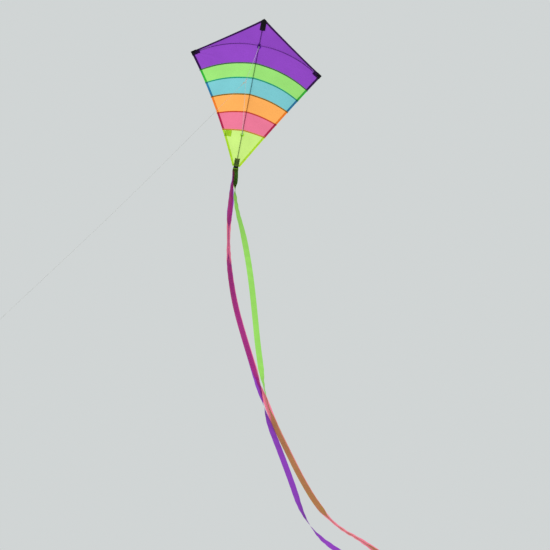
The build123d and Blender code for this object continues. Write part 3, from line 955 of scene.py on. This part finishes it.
def make_eyelet_patches(materials):
    turn = np.linspace(0, FULL_TURN, 48, endpoint=False)
    radius, depth = EYELET.T[..., None]
    for (word, tie), band in zip(TIES.items(), ("purple", "lime")):
        bag = Bag()
        x, z = radius * np.cos(turn), tie[2] + radius * np.sin(turn)
        bag.grid(on_sail(x, z, depth), spread(x, z), closed=True)
        nodes = [f"{word}_eyelet_patch"]
        bag.make(f"{word}_eyelet_ring", "kite", f"sail_{band}", materials[band], nodes=nodes)


# ---- stitching ----
STITCH_HALF = 1.25 * MM
STITCH_STEP = 3.4 * MM
BOTH_FACES = (-0.02 * MM, 0.56 * MM)
# a stitch's corners: shares of its half length along it, then millimetres aside and out
STITCH_SHAPE = [
    (-1, 0, -0.1), (1, 0, -0.1), (0, 0.19, 0), (0, -0.19, 0), (0, 0, 0.17),
    (0.7, 0, 0.1), (-0.7, 0, 0.1),
]
STITCH_FACES = [
    (0, 2, 6), (0, 6, 3), (6, 2, 4), (6, 4, 3), (4, 2, 5), (4, 5, 3), (5, 2, 1), (5, 1, 3),
]


def stitches(bag, curve, depths):
    """A row of machine stitches along (x, z) points, at each of some depths."""
    x, z = resample(curve, STITCH_STEP)[0].T
    for depth in depths:
        points = on_sail(x, z, depth)
        out = unit(on_sail(x, z, depth + 1 * MM) - points)
        ahead = unit(np.gradient(points, axis=0))
        aside = np.cross(ahead, out)
        out = out * (-1 if depth < 0 else 1)
        shape = np.stack([
            points + a * STITCH_HALF * ahead + b * MM * aside + c * MM * out
            for a, b, c in STITCH_SHAPE
        ], axis=1)
        size = len(STITCH_SHAPE)
        starts = range(0, size * len(points), size)
        bag.add(shape, [tuple(start + i for i in face) for start in starts for face in STITCH_FACES])


def box_of_stitches(bag, corners, depths):
    for a, b in zip(corners, np.roll(corners, -1, axis=0)):
        stitches(bag, np.array([a, b]), depths)


def make_stitching(thread):
    bag = Bag()
    for side in BOTH:
        for edge in (LEADING[10:-12], LOWER[side][8:-6]):
            curve = mirrored(edge, side)
            for inset in (1.4 * MM, 7.8 * MM):
                stitches(bag, curve + inset * inward_of(curve, side), BOTH_FACES)
    for name in SEAMS:
        x = np.linspace(8 * MM - seam_end(name, -1), seam_end(name, 1) - 8 * MM, 120)
        for drop in (1.3 * MM, 4.3 * MM):
            stitches(bag, spread(x, seam_z(name, x) - drop), BOTH_FACES)
    box_of_stitches(bag, label_outline(1.6 * MM), (-0.36 * MM, 0.04 * MM))
    foot = STRAP_FOOT + 2
    for outline in (
        [(-10, foot), (10, foot), (10, 114.5), (0, 120.7), (-10, 114.5)],
        [(-10, foot + 11), (10, foot + 11), (-10, foot), (10, foot)],
    ):
        box_of_stitches(bag, np.array(outline) * MM, (-1.22 * MM,))
    for x in (-9.9, 9.9):
        for top, bottom in ((115, foot), (TAIL_Z / MM + 37.5, TAIL_Z / MM + 3)):
            stitches(bag, np.array([(x, top), (x, bottom)]) * MM, (1.87 * MM, -0.02 * MM))
    bag.make("stitching", "kite", "webbing_black", thread)


# ---- ribbons ----
RIBBON_WIDTH = 25 * MM
RIBBON_ROUTES = {  # down each ribbon's middle, (x, z) in millimetres
    "green": [
        (0, -596), (0.8, -610), (5, -629), (10.5, -656), (15, -683), (18, -704), (27, -742), (47, -799),
        (80, -870), (117, -965), (160, -1092), (204, -1246), (234, -1357), (270, -1472), (302, -1565),
        (334, -1638), (372, -1706), (440, -1801), (527, -1922), (623, -2034), (727, -2108), (838, -2142),
        (938, -2191),
    ],
    "pink": [
        (0, -596), (0.2, -612), (0.5, -636), (-0.5, -661), (0, -692), (4.5, -735), (10, -790), (16, -858),
        (32, -950), (58, -1062), (107, -1206), (178, -1356), (252, -1499), (308, -1598), (372, -1706),
        (441, -1801), (528, -1922), (624, -2034), (728, -2108), (838, -2142), (950, -2198),
    ],
    "purple": [
        (0, -596), (0.2, -610), (-1, -632), (-1.5, -656), (-1, -681), (2, -705), (5, -730), (8.5, -758),
        (10, -800), (17, -862), (34, -960), (58, -1062), (107, -1206), (178, -1356), (240, -1480),
        (292, -1592), (346, -1702), (413, -1812), (489, -1944), (553, -2064), (630, -2150), (722, -2200),
        (830, -2243),
    ],
}
RIBBON_TURNS = {  # (height in millimetres, degrees turned from face on)
    "green": [
        (-594, 0), (-627, 6), (-656, 36), (-679, 60), (-690, 86), (-702, 108), (-725, 124), (-777, 130),
        (-854, 143), (-930, 174), (-1000, 180), (-1420, 182), (-1480, 196), (-1505, 225), (-1530, 245),
        (-1570, 262), (-1655, 264), (-1684, 226), (-1708, 196), (-1745, 184), (-2000, 184), (-2042, 205),
        (-2060, 258), (-2080, 269), (-2146, 269), (-2170, 240), (-2192, 210),
    ],
    "pink": [
        (-594, 0), (-612, -24), (-630, -56), (-648, -70), (-667, -66), (-685, -62), (-703, -58),
        (-722, -50), (-749, -38), (-777, -34), (-823, -36), (-860, -46), (-930, -60), (-990, -45),
        (-1080, -30), (-1200, -14), (-1480, 8), (-1515, 45), (-1556, 70), (-1590, 40), (-1640, 12),
        (-2035, 4), (-2056, 50), (-2080, 64), (-2125, 58), (-2155, 40), (-2198, 8),
    ],
    "purple": [
        (-594, 0), (-612, -20), (-630, -52), (-648, -66), (-667, -60), (-685, -54), (-703, -47),
        (-722, -36), (-749, -18), (-777, -14), (-823, -28), (-845, -44), (-862, -86), (-985, -92),
        (-1010, -60), (-1040, -32), (-1090, -28), (-1200, -14), (-1480, 8), (-1560, 32), (-1600, 65),
        (-1630, 88), (-1652, 96), (-1685, 130), (-1725, 156), (-1850, 170), (-1990, 164), (-2050, 130),
        (-2092, 104), (-2110, 90), (-2128, 82), (-2160, 52), (-2200, 24), (-2240, 10),
    ],
}
# depth at the header, the length over which it holds that, its depth lower down, and then a
# slow wave's height; depths and heights in millimetres
RIBBON_LAYERS = {
    "green": (-1.1, 0.12, 2.5, 30.0),
    "pink": (0.0, 0.012, -2.5, 30.0),
    "purple": (1.1, 0.012, 3.0, 30.0),
}
RIBBON_WAVE = 0.83
RIBBON_STEP = 4.5 * MM
SHADE_SHEET_LENGTH = 103 * MM  # painted shade: a dark olive sheet behind the green ribbon's top that darkens it there, and its tapered end
SHADE_SHEET_TAPER = 30 * MM


def make_ribbon(colour, cloth, shade_sheet=None):
    near, leaves, far, height = RIBBON_LAYERS[colour]
    route = [(x * MM, near * MM, z * MM) for x, z in RIBBON_ROUTES[colour]]
    line, along = resample(nurbs_line(route), RIBBON_STEP)
    z = line[:, 2] / MM
    depth = (far - near) * ease(np.clip((along - leaves) / 0.16, 0, 1))
    growth = np.clip((along - 0.05) / 0.6, 0, 1) ** 1.3
    depth = depth + height * growth * np.sin(FULL_TURN * (along / RIBBON_WAVE + 0.1))
    line[:, 1] += depth * MM
    line[:, 2] += depth * MM * math.tan(RISE)

    turns = np.array(RIBBON_TURNS[colour], float)
    turned = np.radians(np.interp(-z, -turns[:, 0], turns[:, 1]))
    kernel = np.hanning(11) / np.hanning(11).sum()
    turned = np.convolve(np.pad(turned, 5, mode="edge"), kernel, mode="valid")
    tangent = unit(np.gradient(line, axis=0))
    flat = unit(np.cross(np.array(TO_FLYER), tangent))
    across = circle(turned, flat, np.cross(tangent, flat))
    out = np.cross(tangent, across)

    rng = np.random.default_rng(SEED + len(colour))
    phase = np.cumsum(rng.normal(0, 0.09, len(along)))

    def swing(length):
        return np.sin(FULL_TURN * along / length + rng.uniform(0, 6))[:, None]

    # small ripples that lean and come and go, on a cup across the ribbon
    v = np.linspace(-0.5, 0.5, 9)
    wave = FULL_TURN * (along[:, None] / 0.043 + 0.55 * swing(0.41) * v) + phase[:, None]
    ripple = (0.35 + 0.75 * (0.5 + 0.5 * swing(0.27))) * np.sin(wave)
    cup = (0.8 + 1.1 * swing(0.33)) * (4 * v**2 - 0.33)
    lift = MM * (ripple + cup) * np.clip(along / 0.06, 0, 1)[:, None]

    def strip(width, lift, rows):
        side = v[None, :, None] * width * across[rows, None]
        return line[rows, None] + side + lift[..., None] * out[rows, None]

    bag = Bag()
    uvs = spread(v[None] * RIBBON_WIDTH, along[:, None])
    bag.grid(strip(RIBBON_WIDTH, lift, slice(None)), uvs)
    materials = [cloth]
    # painted shade: a dark olive sheet, tapered at its end, darkens the top of the green ribbon
    if shade_sheet:
        top = along < SHADE_SHEET_LENGTH
        taper = np.clip((SHADE_SHEET_LENGTH - along[top]) / SHADE_SHEET_TAPER, 0, 1)[:, None, None]
        bag.grid(strip(0.97 * RIBBON_WIDTH * taper, lift[top] - 0.55 * MM, top), uvs[top], kind=1)
        materials.append(shade_sheet)
    slot = f"ribbon_{colour}"
    ribbon = bag.make(f"tail_{slot}", f"{colour}_tail", slot, *materials, nodes=[slot])


header_low, header_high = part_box("ribbon_header")


def make_header(material):
    """A folded piece of ribbon cloth that the three ribbons are sewn into."""
    half = (header_high.x - header_low.x) / 2 - 1.5 * MM
    radius = (header_high.y - header_low.y) / 2 - 0.25 * MM
    tall = header_high.z - header_low.z
    crown = header_high.z - radius
    turn = np.linspace(-math.pi / 2, math.pi / 2, 13)
    down = np.linspace(0, tall - radius, 9)[1:]
    profile = np.concatenate([
        spread(-radius, crown - down[::-1]),
        spread(radius * np.sin(turn), crown + radius * np.cos(turn)),
        spread(radius, crown - down),
    ])
    x = np.linspace(-half, half, 13)
    wave = 0.35 * MM * np.sin(x / half * 4.2 + 0.6)
    y, z = profile.T[..., None]
    sink = (header_high.z - z) / tall
    squeeze = 1 - 0.22 * np.sin(math.pi * np.clip(sink, 0, 1)) ** 2
    long = lengths(profile)
    bag = Bag()
    bag.grid(spread(x, y * squeeze + wave * sink, z), spread(x, long[:, None]))
    header = bag.make(
        "ribbon_header_cloth", "header", "ribbon_green", material, nodes=["ribbon_header"]
    )


def make_tail_tab(material):
    """The strap's tongue, which joins the foot of the sail to the header and bends there."""
    low, high = header_high.z - 4 * MM, TAIL_Z + 5 * MM
    half = 10.6 * MM
    x, z = np.linspace(-half, half, 11), np.linspace(low, high, 22)[:, None]
    behind = sail_y(0.0, TAIL_Z) + 2.3 * MM
    in_front = header_low.y - 0.9 * MM
    share = np.clip((TAIL_Z + 2 * MM - z) / (9 * MM), 0, 1)
    y = behind + (in_front - behind) * ease(share)
    bag = Bag()
    two_skins(bag, spread(x, y, z), spread(x, y + 0.8 * MM, z), spread(x, z))
    tab = bag.make("tail_tab", "kite", "webbing_black", material)
    tab.parent = None
    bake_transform(tab)


# ---- light and floor ----
SKY_COLOUR = (0.635, 0.665, 0.665, 1)
SUN_STRENGTH = 4.4
SUN_COLOUR = (1.0, 0.985, 0.96)
SUN_FROM = Vector((0.2, 0.78, 0.55))
SUN_SPREAD = math.radians(9)
FLOOR_COLOUR = (0.47, 0.48, 0.48)
FLOOR_HALF, FLOOR_Z = 260.0, -6.2


def make_stage():
    world = bpy.data.worlds.new("soft_light")
    bpy.context.scene.world = world
    world.use_nodes = True
    background = world.node_tree.nodes["Background"]
    background.inputs["Color"].default_value = SKY_COLOUR
    background.inputs["Strength"].default_value = 1.0

    sun = bpy.data.lights.new("key", "SUN")
    sun.energy = SUN_STRENGTH
    sun.angle = SUN_SPREAD
    sun.color = SUN_COLOUR
    key = bpy.data.objects.new("key", sun)
    key.rotation_mode = "QUATERNION"
    key.rotation_quaternion = SUN_FROM.to_track_quat("Z", "Y")
    bpy.context.scene.collection.objects.link(key)

    mesh = bpy.data.meshes.new("floor")
    corners = [(x * FLOOR_HALF, y * FLOOR_HALF, FLOOR_Z) for x, y in ((-1, -1), (1, -1), (1, 1), (-1, 1))]
    mesh.from_pydata(corners, [], [(0, 1, 2, 3)])
    g = Graph("pale_floor")
    shade = g.tint(FLOOR_COLOUR, g.remap(g.noise(0.7, 4.0, 0.5), 0.3, 0.7, 0.985, 1.015))
    matt = g.add("BsdfPrincipled", {"Base Color": shade, "Roughness": 0.9}).outputs[0]
    mesh.materials.append(g.finish(matt))
    floor = bpy.data.objects.new("floor", mesh)
    bpy.context.scene.collection.objects.link(floor)
    view = bpy.context.scene.view_settings
    view.view_transform = "Standard"
    view.look = "None"


# ---- the kite ----
# each band's colour, its hem's, and that of the edge lapped behind the next band down
BAND_COLOURS = {
    "purple": [(0.26, 0.058, 0.50), (0.22, 0.16, 0.22), (0.31, 0.29, 0.50)],
    "green": [(0.307, 0.70, 0.172), (0.15, 0.69, 0.34), (0.07, 0.69, 0.46)],
    "turquoise": [(0.186, 0.53, 0.58), (0.19, 0.48, 0.71), (0.40, 0.49, 0.26)],
    "orange": [(0.93, 0.40, 0.10), (0.87, 0.64, 0.35), (0.79, 0.49, 0.15)],
    "pink": [(0.79, 0.18, 0.30), (0.65, 0.07, 0.38), (0.95, 0.47, 0.31)],
    "lime": [(0.55, 0.80, 0.205), (0.80, 0.86, 0.22)],
}
HEADER_COLOUR = (0.32, 0.50, 0.06)
RIBBON_COLOURS = {
    "green": (0.32, 0.70, 0.128), "pink": (0.95, 0.215, 0.345), "purple": (0.275, 0.056, 0.49),
}
CLEAR = 0.45  # the share of light that goes straight through the sail


def dress(material, *nodes):
    """Gives CAD nodes a material."""
    for name in nodes:
        materials = frame["nodes"][name].data.materials
        materials.clear()
        materials.append(material)


make_camera()
make_stage()
bridle_yarn = yarn_material("bridle_yarn", (0.96, 0.96, 0.95), 0.12)
line_yarn = yarn_material("line_yarn", (0.93, 0.93, 0.91), 0.6)
make_bridle(bridle_yarn)
make_ties(bridle_yarn)
make_line(line_yarn)

cloths = {}
for index, (name, colours) in enumerate(BAND_COLOURS.items()):
    words = ("ripstop", "hem", "lap")
    bands = [ripstop(f"{word}_{name}", shade, CLEAR) for word, shade in zip(words, colours)]
    cloths[name] = bands[0]
    make_panel(index, bands)
tape = webbing("woven_tape", (0.006, 0.004, 0.008))
# painted shade: the dark olive sheet that darkens the green ribbon's top, with the woven tape's look
shade_sheet_cloth = webbing("olive_painted_shade", (0.16, 0.20, 0.06))
make_nose_pocket(tape)
make_tail_pocket(tape)
make_wing_pocket(1, tape)
make_wing_pocket(-1, tape)
make_label(ripstop("label_ripstop", (0.66, 0.76, 0.18), 0.4))
make_eyelet_patches(cloths)
make_stitching(yarn_material("black_thread", (0.03, 0.025, 0.03), 0.0))

for colour, shade in RIBBON_COLOURS.items():
    cloth = ripstop(f"ribbon_tape_{colour}", shade, 0.6, 0.1)
    make_ribbon(colour, cloth, shade_sheet_cloth if colour == "green" else None)
make_header(ripstop("header_ripstop", HEADER_COLOUR, CLEAR))
make_tail_tab(tape)

dress(rod_material(), "spine_rod", "spreader_rod")
dress(soft_vinyl(), "spine_cap_nose", "spine_cap_tail", "spreader_cap_left", "spreader_cap_right")
dress(clouded_vinyl(), "cross_fitting")
dress(metal("plated_wire", (0.78, 0.78, 0.79), 0.2), "tow_ring", "snap_hook", "swivel_eye")
dress(metal("turned_brass", (0.80, 0.58, 0.26), 0.24), "swivel_barrel")
